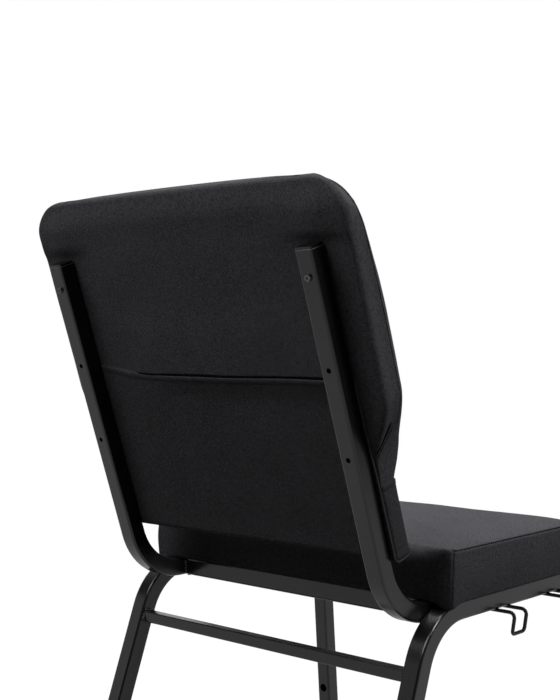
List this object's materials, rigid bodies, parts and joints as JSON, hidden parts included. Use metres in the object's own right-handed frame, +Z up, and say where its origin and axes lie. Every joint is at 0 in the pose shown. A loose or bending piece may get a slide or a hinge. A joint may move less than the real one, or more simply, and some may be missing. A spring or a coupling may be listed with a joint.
{
  "type": "choir chair",
  "caption": "Armless stacking chair with a bent square-tube frame, padded seat, tall padded back with a rear pocket, and wire ganging hooks and loops.",
  "frame": {"origin": "on the floor, under the middle of the whole chair's bounding box", "axes": "+Z up, the sitter faces -Y, the sitter's left is +X"},
  "size_m": [0.587, 0.6556, 0.8986],
  "materials": {
    "frame": "satin black powder coat",
    "upholstery": "fine flat weave, charcoal",
    "dust_cloth": "thin non-woven cloth",
    "foam": "open-cell foam",
    "plywood": "raw plywood",
    "glide": "moulded",
    "bumper": "moulded",
    "zinc": "zinc plated",
    "black_screw": "black oxide"
  },
  "bodies": {
    "root": {"side_frame_left": "frame", "side_frame_right": "frame", "upright_left": "frame", "upright_right": "frame", "upright_cap_left": "frame", "upright_cap_right": "frame", "rear_cross_tube": "frame", "front_cross_tube": "frame", "rear_stretcher": "frame", "glide_front_left": "glide", "glide_front_right": "glide", "glide_rear_left": "glide", "glide_rear_right": "glide", "ganging_hook_rear": "frame", "ganging_hook_front": "frame", "ganging_loop_rear": "frame", "ganging_loop_front": "frame", "stacking_bumpers": "bumper", "seat_board": "plywood", "seat_foam": "foam", "seat_cover": "upholstery", "seat_dust_cover": "dust_cloth", "seat_screws": "zinc", "seat_tee_nuts": "zinc", "back_board": "plywood", "back_foam": "foam", "back_cover": "upholstery", "back_lower_sleeve": "upholstery", "pocket_panel": "upholstery", "back_top_screws": "black_screw", "back_lower_screws": "zinc", "back_tee_nuts": "zinc"}
  },
  "joints": []
}
